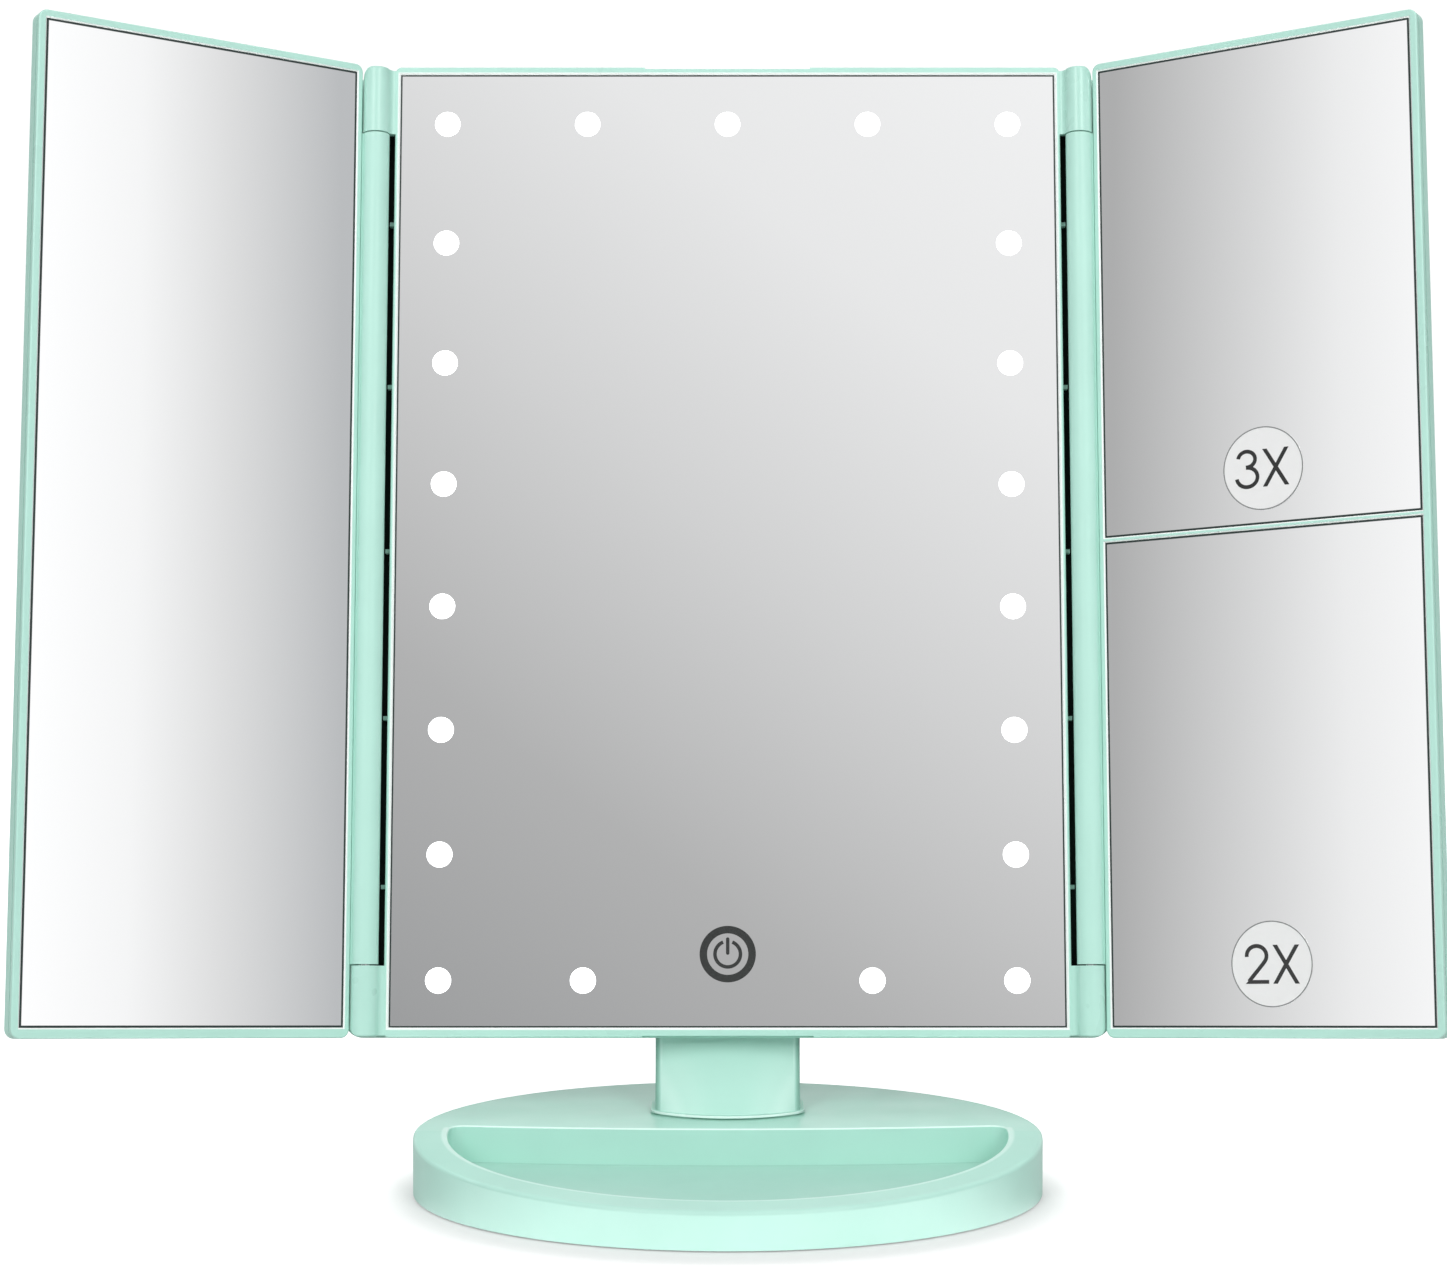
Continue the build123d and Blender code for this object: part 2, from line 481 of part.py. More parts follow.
with BuildPart() as board_chips:
    block(panel, -9.5, -3.5, 34, 38, -11.8, -10.2)
    block(panel, 2.5, 7.5, 40, 45, -11.2, -10.2)
    block(panel, 10.5, 14.5, 32, 38, -12.4, -10.2)
    rounds(panel, [(-11, 43.5)], 2.5, -15.6, -10.2)
board_chips.part.label = "board_chips"

with BuildPart() as board_screws:
    rounds(panel, [(-16, 27), (16, 27), (-16, 47), (16, 47)], 1.9, -11.4, -10.2)
    rounds(panel, [(-16, 27), (16, 27), (-16, 47), (16, 47)], 0.9, -10.2, -7.0)
board_screws.part.label = "board_screws"

# charging socket at the bottom edge of the head
with BuildPart() as usb_socket:
    block(panel, 41.2, 48.8, 0.3, 6.0, -13.3, -10.7, radius=0)
    block(panel, 41.55, 48.45, -1, 5.2, -12.95, -11.05, mode=Mode.SUBTRACT)
    block(panel, 42.6, 47.4, 1.2, 5.6, -12.3, -11.7)
usb_socket.part.label = "usb_socket"

with BuildPart() as usb_board:
    block(panel, 36.0, 54.0, 2.1, 16.0, -14.6, -13.35)
usb_board.part.label = "usb_board"

# dry cells, side by side, and their contacts
with BuildPart() as battery_cells:
    for i, x in enumerate(cell_x):
        v0 = 64.6
        rounds(rise, [(x, -CELL_N)], CELL_R, v0, v0 + CELL_L - 0.9)
        if i % 2:
            rounds(rise, [(x, -CELL_N)], 1.9, v0 - 0.9, v0)
        else:
            rounds(rise, [(x, -CELL_N)], 1.9, v0 + CELL_L - 0.9, v0 + CELL_L)
battery_cells.part.label = "battery_cells"

with BuildPart() as battery_contacts:
    for x0, x1 in ((-20.6, -1.0), (1.0, 20.6)):
        block(panel, x0, x1, BAT_V0 + 0.2, BAT_V0 + 0.7, CELL_N - 3.4, CELL_N + 3.4)
    for x0, x1 in ((-20.6, -12.0), (-9.6, 9.6), (12.0, 20.6)):
        block(panel, x0, x1, BAT_V1 - 0.7, BAT_V1 - 0.2, CELL_N - 3.4, CELL_N + 3.4)
    for i, x in enumerate(cell_x):
        if i % 2:
            rounds(rise, [(x, -CELL_N)], 1.6, BAT_V0 + 0.5, 63.7)
            rounds(rise, [(x, -CELL_N)], 3.4, 108.0 + 0.1, BAT_V1 - 0.5)
            rounds(rise, [(x, -CELL_N)], 2.7, 108.0, BAT_V1 - 0.7, mode=Mode.SUBTRACT)
        else:
            rounds(rise, [(x, -CELL_N)], 3.4, BAT_V0 + 0.5, 64.5)
            rounds(rise, [(x, -CELL_N)], 2.7, BAT_V0 + 0.7, 64.6, mode=Mode.SUBTRACT)
            rounds(rise, [(x, -CELL_N)], 1.6, 64.6 + CELL_L, BAT_V1 - 0.5)
battery_contacts.part.label = "battery_contacts"

# leads between the compartment, the boards and the lights
lead_paths = (
    # compartment to control board
    [(-12.4, 50.9, -7.6), (-12.4, 55.0, -7.8), (-12.4, 59.1, -8.4)],
    [(12.4, 50.9, -7.6), (12.4, 55.0, -7.8), (12.4, 59.1, -8.4)],
    # charging board to control board
    [(44.0, 16.2, -14.0), (43.0, 26.0, -13.6), (32.0, 32.0, -11.0), (19.8, 31.0, -9.6)],
    [(47.0, 16.2, -14.0), (46.0, 30.0, -13.6), (33.0, 37.0, -11.0), (19.8, 36.0, -9.6)],
    # control board to the lights, through the inner frame
    [(19.8, 42.0, -9.6), (31.0, 41.0, -9.0), (41.0, 40.0, -5.6), (51.0, 40.0, -4.1), (62.8, 40.0, -4.15)],
)
with BuildPart() as wire_leads:
    for route in lead_paths:
        points = [panel.from_local_coords(Vector(x, v, n)) for x, v, n in route]
        radii = []
        for a, b, c in zip(points, points[1:], points[2:]):
            turn = radians((b - a).get_angle(c - b))
            radii.append(0.4 * min((b - a).length, (c - b).length) / tan(turn / 2))
        with BuildLine() as run:
            FilletPolyline(*points, radius=radii)
        with BuildSketch(Plane(origin=points[0], z_dir=points[1] - points[0])) as core:
            Circle(0.5)
        sweep(core.sketch, path=run.line)
wire_leads.part.label = "wire_leads"

# ------------------------------------------------------------------ battery door
with BuildPart() as battery_door:
    block(panel, -DOOR_W / 2 + 0.35, DOOR_W / 2 - 0.35, DOOR_V0 + 0.35, DOOR_V1 - 0.35, -CASE_BACK, -top - 0.35, radius=2.2)
    # snap tongue and finger grooves
    block(panel, -6, 6, DOOR_V0 + 3.4, DOOR_V0 + 4.8, -top - 0.4, -top + 1.4)
    for i in range(4):
        block(panel, -9, 9, DOOR_V1 - 7 - 2.2 * i, DOOR_V1 - 6 - 2.2 * i, -CASE_BACK - 1, -CASE_BACK + 0.35, mode=Mode.SUBTRACT)
battery_door.part.label = "battery_door"

# ================================================================== WINGS
face_z = -HINGE_N                          # glass front, in the frame of the wing
rim_z1 = face_z + BEZEL_FRONT
rim_z0 = rim_z1 - WING_RIM
back_z = rim_z1 - WING_T
barrel_v0, barrel_v1 = KNUCKLE_INNER + BARREL_GAP, HEAD_H - KNUCKLE_INNER - BARREL_GAP


def wing_plate(z0, z1):
    """Outline of a wing, rounder at its free corners than at the hinge."""
    with BuildSketch(leaf.offset(z0)) as outline:
        with Locations((-(WING_OUT + WING_IN) / 2, HEAD_H / 2)):
            Rectangle(WING_OUT - WING_IN, HEAD_H)
        fillet(vertices().group_by(Axis.X)[0], 2.2)
        fillet(vertices().group_by(Axis.X)[-1], 2.0)
    extrude(outline.sketch, amount=z1 - z0)


with BuildPart() as left_wing_shell:
    wing_plate(back_z, rim_z0)
    fillet(faces().sort_by(Axis(leaf.origin, leaf.z_dir))[0].edges(), 1.2)
    # hinge barrel and its root
    block(leaf, -6.6, -2.6, barrel_v0, barrel_v1, back_z + 2.0, rim_z0)
    block(leaf, -WING_IN + 0.05, -2.6, barrel_v0, barrel_v1, back_z + 2.0, rim_z1 - 0.05)
    with BuildSketch(leaf_rise.offset(barrel_v0)):
        Circle(KNUCKLE_R)
    extrude(amount=barrel_v1 - barrel_v0)
    # hollow for the glass and the ribs under it
    block(leaf, -WING_OUT + 1.7, -WGLASS_IN + 0.15, 1.7, HEAD_H - 1.7, back_z + 1.5, 3, mode=Mode.SUBTRACT)
    for x in (-68, -45, -22):
        block(leaf, x - 0.6, x + 0.6, 1.5, HEAD_H - 1.5, back_z + 1.2, -HINGE_N - 2.8)
    for v in (60, 120.5, 181):
        block(leaf, -WING_OUT + 1.5, -WGLASS_IN, v - 0.6, v + 0.6, back_z + 1.2, -HINGE_N - 2.8)
    # shadow groove under the front rim, on the three free sides
    with BuildSketch(leaf.offset(rim_z0 - 0.45)):
        with Locations(((-WING_OUT - WING_IN) / 2, HEAD_H / 2)):
            Rectangle(WING_OUT - WING_IN + 8, HEAD_H + 8)
        with Locations(((-WING_OUT + 0.5) / 2, HEAD_H / 2)):
            RectangleRounded(WING_OUT - 0.5, HEAD_H - 1.0, 1.8, mode=Mode.SUBTRACT)
        with Locations((5, HEAD_H / 2)):
            Rectangle(24, HEAD_H + 20, mode=Mode.SUBTRACT)
    extrude(amount=0.5, mode=Mode.SUBTRACT)
    rounds(leaf_rise, [(0, 0)], PIN_R + 0.05, barrel_v0, 28.0, mode=Mode.SUBTRACT)
    rounds(leaf_rise, [(0, 0)], PIN_R + 0.05, HEAD_H - 28.0, barrel_v1, mode=Mode.SUBTRACT)
left_wing_shell.part.label = "left_wing_shell"


def wing_rim(openings):
    """Front rim of a wing: a thin frame with bevelled lips around the glass."""
    wing_plate(rim_z0, rim_z1)
    front = faces().sort_by(Axis(leaf.origin, leaf.z_dir))[-1].edges().sort_by(Axis(leaf.origin, leaf.x_dir))
    fillet(front[:-1], 0.4)
    for v0, v1 in openings:
        block(leaf, -WGLASS_OUT - 0.12, -WGLASS_IN + 0.12, v0 - 0.12, v1 + 0.12, rim_z0 - 1, rim_z1 + 1, mode=Mode.SUBTRACT)
    lips = []
    for wire in faces().filter_by(leaf).sort_by(Axis(leaf.origin, leaf.z_dir))[-1].inner_wires():
        lips += wire.edges()
    chamfer(lips, 0.35)


mid = (GLASS_V0 + GLASS_V1) / 2
with BuildPart() as left_wing_rim:
    wing_rim([(GLASS_V0, GLASS_V1)])
left_wing_rim.part.label = "left_wing_rim"

with BuildPart() as left_wing_mirror:
    block(leaf, -WGLASS_OUT, -WGLASS_IN, GLASS_V0, GLASS_V1, face_z - GLASS_T, face_z)
left_wing_mirror.part.label = "left_wing_mirror"

with BuildPart() as left_wing_tape:
    block(leaf, -WGLASS_OUT + 2, -WGLASS_IN - 2, GLASS_V0 + 2, GLASS_V1 - 2, face_z - GLASS_T - 0.8, face_z - GLASS_T)
left_wing_tape.part.label = "left_wing_tape"

with BuildPart() as right_wing_shell:
    mirror(left_wing_shell.part, about=Plane.YZ)
right_wing_shell.part.label = "right_wing_shell"

with BuildPart() as split_rim:
    wing_rim([(GLASS_V0, mid - DIVIDER / 2), (mid + DIVIDER / 2, GLASS_V1)])

with BuildPart() as right_wing_rim:
    mirror(split_rim.part, about=Plane.YZ)
right_wing_rim.part.label = "right_wing_rim"

# the right wing, in its own frame: x away from the hinge
right_leaf = Plane(
    origin=panel.from_local_coords(Vector(HINGE_X, 0, HINGE_N)),
    x_dir=panel.x_dir * cos(p) + panel.z_dir * sin(p),
    z_dir=panel.z_dir * cos(p) - panel.x_dir * sin(p),
)

with BuildPart() as upper_3x_mirror:
    block(right_leaf, WGLASS_IN, WGLASS_OUT, mid + DIVIDER / 2, GLASS_V1, face_z - GLASS_T, face_z)
upper_3x_mirror.part.label = "upper_3x_mirror"

with BuildPart() as lower_2x_mirror:
    block(right_leaf, WGLASS_IN, WGLASS_OUT, GLASS_V0, mid - DIVIDER / 2, face_z - GLASS_T, face_z)
lower_2x_mirror.part.label = "lower_2x_mirror"

with BuildPart() as right_wing_tape:
    block(right_leaf, WGLASS_IN + 2, WGLASS_OUT - 2, GLASS_V0 + 2, mid - 3, face_z - GLASS_T - 0.8, face_z - GLASS_T)
    block(right_leaf, WGLASS_IN + 2, WGLASS_OUT - 2, mid + 3, GLASS_V1 - 2, face_z - GLASS_T - 0.8, face_z - GLASS_T)
right_wing_tape.part.label = "right_wing_tape"

with BuildPart() as label_3x:
    rounds(right_leaf, [(46.5, 134.8)], 10.1, face_z, face_z + 0.12)
label_3x.part.label = "label_3x"

with BuildPart() as label_2x:
    rounds(right_leaf, [(46.0, 17.3)], 10.1, face_z, face_z + 0.12)
label_2x.part.label = "label_2x"

# ------------------------------------------------------------------ export
pieces = {
    "base_shell": base_shell, "base_bottom_cover": base_bottom_cover, "anti_slip_pad": anti_slip_pad,
    "base_weight": base_weight, "base_screws": base_screws, "neck_column": neck_column,
    "neck_screws": neck_screws, "tilt_shaft": tilt_shaft, "shaft_collars": shaft_collars,
    "front_bezel": front_bezel, "centre_mirror": centre_mirror, "light_diffuser": light_diffuser,
    "led_board": led_board, "led_chips": led_chips, "inner_frame": inner_frame, "back_cover": back_cover,
    "case_screws": case_screws, "wing_hinge_pins": wing_hinge_pins, "tilt_bush_left": tilt_bush_left,
    "tilt_bush_right": tilt_bush_right, "friction_washers": friction_washers,
    "touch_electrode": touch_electrode, "touch_spring": touch_spring, "control_board": control_board,
    "board_chips": board_chips, "board_screws": board_screws, "usb_socket": usb_socket,
    "usb_board": usb_board, "battery_cells": battery_cells, "battery_contacts": battery_contacts,
    "wire_leads": wire_leads, "battery_door": battery_door,
    "left_wing_shell": left_wing_shell, "left_wing_rim": left_wing_rim,
    "left_wing_mirror": left_wing_mirror, "left_wing_tape": left_wing_tape,
    "right_wing_shell": right_wing_shell, "right_wing_rim": right_wing_rim,
    "upper_3x_mirror": upper_3x_mirror, "lower_2x_mirror": lower_2x_mirror,
    "right_wing_tape": right_wing_tape, "label_3x": label_3x, "label_2x": label_2x,
}
os.makedirs("parts", exist_ok=True)
for name, piece in pieces.items():
    export_step(piece.part, f"parts/{name}.step")
print("tilt axis", axis_point, "left hinge", hinge_left)
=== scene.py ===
import bpy, bmesh, math
from mathutils import Vector, Matrix


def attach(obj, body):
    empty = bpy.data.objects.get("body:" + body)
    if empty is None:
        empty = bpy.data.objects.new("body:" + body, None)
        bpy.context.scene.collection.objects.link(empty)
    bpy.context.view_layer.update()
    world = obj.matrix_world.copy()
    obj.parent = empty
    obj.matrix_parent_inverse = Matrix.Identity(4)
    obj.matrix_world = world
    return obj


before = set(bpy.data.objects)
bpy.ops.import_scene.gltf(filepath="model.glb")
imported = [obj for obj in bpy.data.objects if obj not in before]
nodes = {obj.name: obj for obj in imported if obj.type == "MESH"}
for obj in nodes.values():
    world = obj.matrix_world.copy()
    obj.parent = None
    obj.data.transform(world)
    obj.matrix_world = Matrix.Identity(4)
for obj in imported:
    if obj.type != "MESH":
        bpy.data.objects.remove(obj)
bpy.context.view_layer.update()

scene = bpy.context.scene
MM = 0.001

# ----------------------------------------------------------------------------
# the planes of the object, the same numbers as in the CAD model (metres here)
# ----------------------------------------------------------------------------
TILT = math.radians(10.65)
OPEN = math.radians(31.7)
X = Vector((1, 0, 0))
UP = Vector((0, math.sin(TILT), math.cos(TILT)))
OUT = Vector((0, -math.cos(TILT), math.sin(TILT)))
ORIGIN = Vector((0, 12.45, 33.8)) * MM


def panel(x, v, n=0.0):
    """A point of the head: x across, v up the glass from its lower edge, n in front of it, in millimetres."""
    return ORIGIN + (X * x + UP * v + OUT * n) * MM


class Leaf:
    """The plane of a wing at rest: a away from its hinge, v up, n in front of the hinge axis, in millimetres."""

    def __init__(self, side):
        self.hinge = panel(side * 87.6, 0, 0.8)
        self.away = X * side * math.cos(OPEN) + OUT * math.sin(OPEN)
        self.out = OUT * math.cos(OPEN) - X * side * math.sin(OPEN)

    def at(self, a, v, n=0.0):
        return self.hinge + (self.away * a + UP * v + self.out * n) * MM


left_leaf, right_leaf = Leaf(-1), Leaf(1)
GLASS_N = -0.8                          # the glass front, in the frame of a wing
MID = (2.6 + 238.9) / 2

# ----------------------------------------------------------------------------
# camera
# ----------------------------------------------------------------------------
cam_data = bpy.data.cameras.new("camera")
cam_data.lens = 77.26
cam_data.sensor_width = 36.0
cam_data.clip_start, cam_data.clip_end = 0.01, 50
cam = bpy.data.objects.new("camera", cam_data)
scene.collection.objects.link(cam)
cam.location = (-0.00102, -0.72786, 0.17694)
cam.rotation_euler = (math.radians(90 - 3.54), 0, 0)
scene.camera = cam
scene.view_settings.view_transform = "Standard"
scene.view_settings.look = "None"


# ----------------------------------------------------------------------------
# node helpers
# ----------------------------------------------------------------------------
def lin(*rgb):
    """sRGB 0..255 to linear."""
    out = []
    for c in rgb:
        c /= 255
        out.append(c / 12.92 if c <= 0.04045 else ((c + 0.055) / 1.055) ** 2.4)
    return tuple(out)


class Tree:
    def __init__(self, tree):
        self.t = tree

    def new(self, kind, **settings):
        n = self.t.nodes.new(kind)
        for k, v in settings.items():
            setattr(n, k, v)
        return n

    def link(self, a, b):
        self.t.links.new(a, b)

    def put(self, socket, value):
        if hasattr(value, "links"):
            self.link(value, socket)
        else:
            socket.default_value = value

    def math(self, op, a, b=None, c=None, clamp=False):
        n = self.new("ShaderNodeMath", operation=op, use_clamp=clamp)
        self.put(n.inputs[0], a)
        if b is not None:
            self.put(n.inputs[1], b)
        if c is not None:
            self.put(n.inputs[2], c)
        return n.outputs[0]

    def step(self, value, a, b, to_a=0.0, to_b=1.0, kind="SMOOTHSTEP"):
        n = self.new("ShaderNodeMapRange", interpolation_type=kind)
        n.clamp = True
        self.put(n.inputs["Value"], value)
        n.inputs["From Min"].default_value = a
        n.inputs["From Max"].default_value = b
        n.inputs["To Min"].default_value = to_a
        n.inputs["To Max"].default_value = to_b
        return n.outputs["Result"]

    def mix(self, fac, a, b):
        n = self.new("ShaderNodeMix", data_type="RGBA")
        self.put(n.inputs[0], fac)
        self.put(n.inputs[6], a)
        self.put(n.inputs[7], b)
        return n.outputs[2]

    def ramp(self, fac, stops):
        n = self.new("ShaderNodeValToRGB")
        while len(n.color_ramp.elements) < len(stops):
            n.color_ramp.elements.new(0.5)
        for e, (pos, col) in zip(n.color_ramp.elements, stops):
            e.position = pos
            e.color = (*col, 1)
        self.link(fac, n.inputs["Fac"])
        return n.outputs["Color"]

    def position(self):
        """Where a point is on the object, in millimetres: CAD nodes keep their place in their mesh."""
        c = self.new("ShaderNodeTexCoord")
        m = self.new("ShaderNodeVectorMath", operation="SCALE")
        self.link(c.outputs["Object"], m.inputs[0])
        m.inputs["Scale"].default_value = 1000.0
        return m.outputs[0]

    def noise(self, where, scale, detail=2.0, rough=0.5):
        n = self.new("ShaderNodeTexNoise")
        self.link(where, n.inputs["Vector"])
        n.inputs["Scale"].default_value = scale
        n.inputs["Detail"].default_value = detail
        n.inputs["Roughness"].default_value = rough
        return n.outputs["Fac"]

    def along(self, where, origin, axis):
        """Distance of a point from origin along an axis, in millimetres."""
        sub = self.new("ShaderNodeVectorMath", operation="SUBTRACT")
        self.link(where, sub.inputs[0])
        sub.inputs[1].default_value = tuple(Vector(origin) / MM)
        dot = self.new("ShaderNodeVectorMath", operation="DOT_PRODUCT")
        self.link(sub.outputs[0], dot.inputs[0])
        dot.inputs[1].default_value = tuple(axis)
        return dot.outputs["Value"]

    def beyond(self, x, v, x0, x1, v0, v1, wide=1.0):
        """Distance outside a rectangle, negative inside it; wide above 1 shortens it across."""
        dx = self.math("MAXIMUM", self.math("SUBTRACT", x0, x), self.math("SUBTRACT", x, x1))
        if wide != 1.0:
            dx = self.math("MULTIPLY", dx, 1.0 / wide)
        dv = self.math("MAXIMUM", self.math("SUBTRACT", v0, v), self.math("SUBTRACT", v, v1))
        return self.math("MAXIMUM", dx, dv)

    def bump(self, height, strength, distance):
        n = self.new("ShaderNodeBump")
        n.inputs["Strength"].default_value = strength
        n.inputs["Distance"].default_value = distance
        self.link(height, n.inputs["Height"])
        return n.outputs["Normal"]


def material(name):
    m = bpy.data.materials.new(name)
    m.use_nodes = True
    t = Tree(m.node_tree)
    return m, t, m.node_tree.nodes["Principled BSDF"]


def plastic(name, colour, rough=0.34, spread=0.03, grain=0.07, grain_mm=0.2, lips=(), lip_highlight_width=(0.30, 0.54), wide=1.0, tray=None, edge=None, spec=0.45, painted_corners=False):
    """Moulded plastic: a faint mottle in the colour, cloudy gloss and a fine grain. lips are the glass openings round
    which a pale painted highlight is drawn.

    The lip width pair is where the painted highlight starts to fade and where it has gone; wide is how much wider it is
    along the two long sides. The tray, edge and corner options paint shade and highlights into the colour."""
    m, t, b = material(name)
    where = t.position()
    cloud = t.noise(where, 0.035, 3.0)
    fine = t.noise(where, 0.9, 3.0, 0.6)
    dark = tuple(c * (1 - spread) for c in colour)
    pale = tuple(min(1.0, c * (1 + spread * 0.6)) for c in colour)
    col = t.mix(t.step(cloud, 0.3, 0.7), (*dark, 1), (*pale, 1))
    col = t.mix(t.step(fine, 0.35, 0.75, 0.0, 0.10), col, (*pale, 1))
    # painted highlight: a pale band drawn round each glass opening
    for origin, across, x0, x1, v0, v1 in lips:
        d = t.beyond(t.along(where, origin, across), t.along(where, origin, UP), x0, x1, v0, v1, wide)
        lip_highlight = t.math("MULTIPLY", t.step(d, lip_highlight_width[1], lip_highlight_width[0]), t.step(d, -0.6, -0.4))
        col = t.mix(lip_highlight, col, (0.93, 0.99, 0.965, 1))
    if tray:  # painted shade: the floor of the tray a shade deeper than the plastic around it
        a, b2, level, shade_factor = tray
        sep = t.new("ShaderNodeSeparateXYZ")
        t.link(where, sep.inputs[0])
        inside = t.math("ADD", t.math("POWER", t.math("DIVIDE", sep.outputs["X"], a), 2.0), t.math("POWER", t.math("DIVIDE", sep.outputs["Y"], b2), 2.0))
        tray_shade = t.math("MULTIPLY", t.step(inside, 1.02, 0.98), t.step(sep.outputs["Z"], level + 0.25, level + 0.1))
        col = t.mix(tray_shade, col, (*[c * shade_factor for c in colour], 1))
    if edge:  # moulded edges of this height band, painted pale where they round over: a painted highlight
        low, high, flat, upright, within = edge
        sep = t.new("ShaderNodeSeparateXYZ")
        t.link(where, sep.inputs[0])
        band_part = t.math("MULTIPLY", t.step(sep.outputs["Z"], low - 0.05, low + 0.05), t.step(sep.outputs["Z"], high + 0.05, high - 0.05))
        face = t.new("ShaderNodeSeparateXYZ")
        t.link(t.new("ShaderNodeNewGeometry").outputs["Normal"], face.inputs[0])
        edge_highlight = t.math("MULTIPLY", t.step(face.outputs["Z"], upright - 0.06, upright + 0.06), t.step(face.outputs["Z"], flat, flat - 0.06))
        if within:
            oval = t.math("ADD", t.math("POWER", t.math("DIVIDE", sep.outputs["X"], within[0]), 2.0), t.math("POWER", t.math("DIVIDE", sep.outputs["Y"], within[1]), 2.0))
            edge_highlight = t.math("MULTIPLY", edge_highlight, t.step(oval, 1.13, 1.08))
            # the bevel round the front of the tray lies almost level, and gets the painted highlight too
            bevel = t.math("MULTIPLY", t.math("MULTIPLY", t.step(oval, 1.055, 1.030), t.step(oval, 0.990, 0.998)),
                           t.math("MULTIPLY", t.step(sep.outputs["Y"], 4.5, 3.0), t.step(face.outputs["Z"], 0.90, 0.95)))
            edge_highlight = t.math("MAXIMUM", edge_highlight, t.math("MULTIPLY", bevel, 0.65))
        col = t.mix(t.math("MULTIPLY", t.math("MULTIPLY", band_part, edge_highlight), 0.85), col, (0.80, 0.99, 0.93, 1))
    if painted_corners:  # upright corners with a painted highlight where they round over, and painted shade on the side faces
        turn = t.new("ShaderNodeSeparateXYZ")
        t.link(t.new("ShaderNodeNewGeometry").outputs["Normal"], turn.inputs[0])
        aside = t.math("ABSOLUTE", turn.outputs["X"])
        corner_highlight = t.math("ADD", t.step(aside, 0.08, 0.30, 0.0, 0.20), t.step(aside, 0.27, 0.38, 0.0, 0.26))
        col = t.mix(t.math("MULTIPLY", corner_highlight, t.step(aside, 0.62, 0.40)), col, (0.80, 0.99, 0.93, 1))
        # painted shade: the side faces darker
        col = t.mix(t.step(aside, 0.38, 0.85, 0.0, 0.42), col, (0.10, 0.24, 0.19, 1))
    t.link(col, b.inputs["Base Color"])
    t.link(t.step(t.noise(where, 0.12, 2.0), 0.25, 0.75, rough - 0.05, rough + 0.06, "LINEAR"), b.inputs["Roughness"])
    h = t.noise(where, 1.0 / grain_mm, 2.0, 0.55)
    t.link(t.bump(h, grain, 0.00003), b.inputs["Normal"])
    b.inputs["Specular IOR Level"].default_value = spec
    b.inputs["Coat Weight"].default_value = 0.0
    return m


def give(m, *names):
    for name in names:
        o = nodes[name]
        o.data.materials.clear()
        o.data.materials.append(m)


# ----------------------------------------------------------------------------
# plastics
# ----------------------------------------------------------------------------
MINT = (0.472, 0.775, 0.675)
glass_head = (ORIGIN, X, -81.6, 81.6, 2.6, 238.9)
glass_left = (left_leaf.hinge, left_leaf.away, 5.2, 85.25, 2.6, 238.9)
glass_upper = (right_leaf.hinge, right_leaf.away, 5.2, 85.25, MID + 0.7, 238.9)
glass_lower = (right_leaf.hinge, right_leaf.away, 5.2, 85.25, 2.6, MID - 0.7)

give(plastic("mint_base", MINT, rough=0.33, tray=(66.6, 49.8, 5.0, 0.86), edge=(8.0, 14.2, 0.965, 0.30, (66.4, 49.6))), "base_shell")
give(plastic("mint_neck", MINT, rough=0.46, spread=0.008, edge=(14.3, 15.02, 0.97, -0.2, None), painted_corners=True), "neck_column")
give(plastic("mint_case", MINT, rough=0.38, grain=0.14), "back_cover", "battery_door")
give(plastic("mint_bezel", MINT, rough=0.3, lips=[glass_head], lip_highlight_width=(0.52, 0.80), wide=1.1), "front_bezel")
give(plastic("mint_wing_left", MINT, rough=0.38, spread=0.02), "left_wing_shell")
give(plastic("mint_wing_right", MINT, rough=0.38, spread=0.02), "right_wing_shell")
give(plastic("mint_rim_left", MINT, rough=0.3, lips=[glass_left]), "left_wing_rim")
give(plastic("mint_rim_right", MINT, rough=0.3, lips=[glass_upper, glass_lower]), "right_wing_rim")
give(plastic("black_frame", (0.0012, 0.006, 0.0045), rough=0.6, spread=0.2, spec=0.15), "inner_frame", "base_bottom_cover")
give(plastic("acetal", (0.80, 0.80, 0.76), rough=0.45), "tilt_bush_left", "tilt_bush_right")
give(plastic("white_mask", (0.86, 0.86, 0.84), rough=0.4), "led_board")
give(plastic("green_mask", (0.02, 0.17, 0.06), rough=0.35, spread=0.12), "control_board", "usb_board")
give(plastic("chip_epoxy", (0.02, 0.02, 0.02), rough=0.5, spread=0.2), "board_chips")
give(plastic("phosphor", (0.90, 0.74, 0.16), rough=0.4), "led_chips")
give(plastic("cell_wrap", (0.16, 0.18, 0.21), rough=0.3), "battery_cells")
give(plastic("foam", (0.80, 0.80, 0.78), rough=0.9, grain=0.9, grain_mm=0.6), "left_wing_tape", "right_wing_tape")
give(plastic("lead_pvc", (0.50, 0.03, 0.03), rough=0.45), "wire_leads")
give(plastic("pad_rubber", (0.012, 0.013, 0.013), rough=0.8, grain=0.8, grain_mm=0.9, spread=0.15), "anti_slip_pad")


# ----------------------------------------------------------------------------
# metals
# ----------------------------------------------------------------------------
def metal(name, colour, rough, stretch=(1, 1, 1)):
    m, t, b = material(name)
    where = t.position()
    mp = t.new("ShaderNodeMapping")
    mp.inputs["Scale"].default_value = stretch
    t.link(where, mp.inputs["Vector"])
    grain = t.noise(mp.outputs[0], 1.2, 3.0, 0.6)
    t.link(t.mix(grain, (*[c * 0.85 for c in colour], 1), (*colour, 1)), b.inputs["Base Color"])
    t.link(t.step(grain, 0.3, 0.7, rough - 0.06, rough + 0.08, "LINEAR"), b.inputs["Roughness"])
    b.inputs["Metallic"].default_value = 1.0
    t.link(t.bump(grain, 0.25, 0.00003), b.inputs["Normal"])
    return m


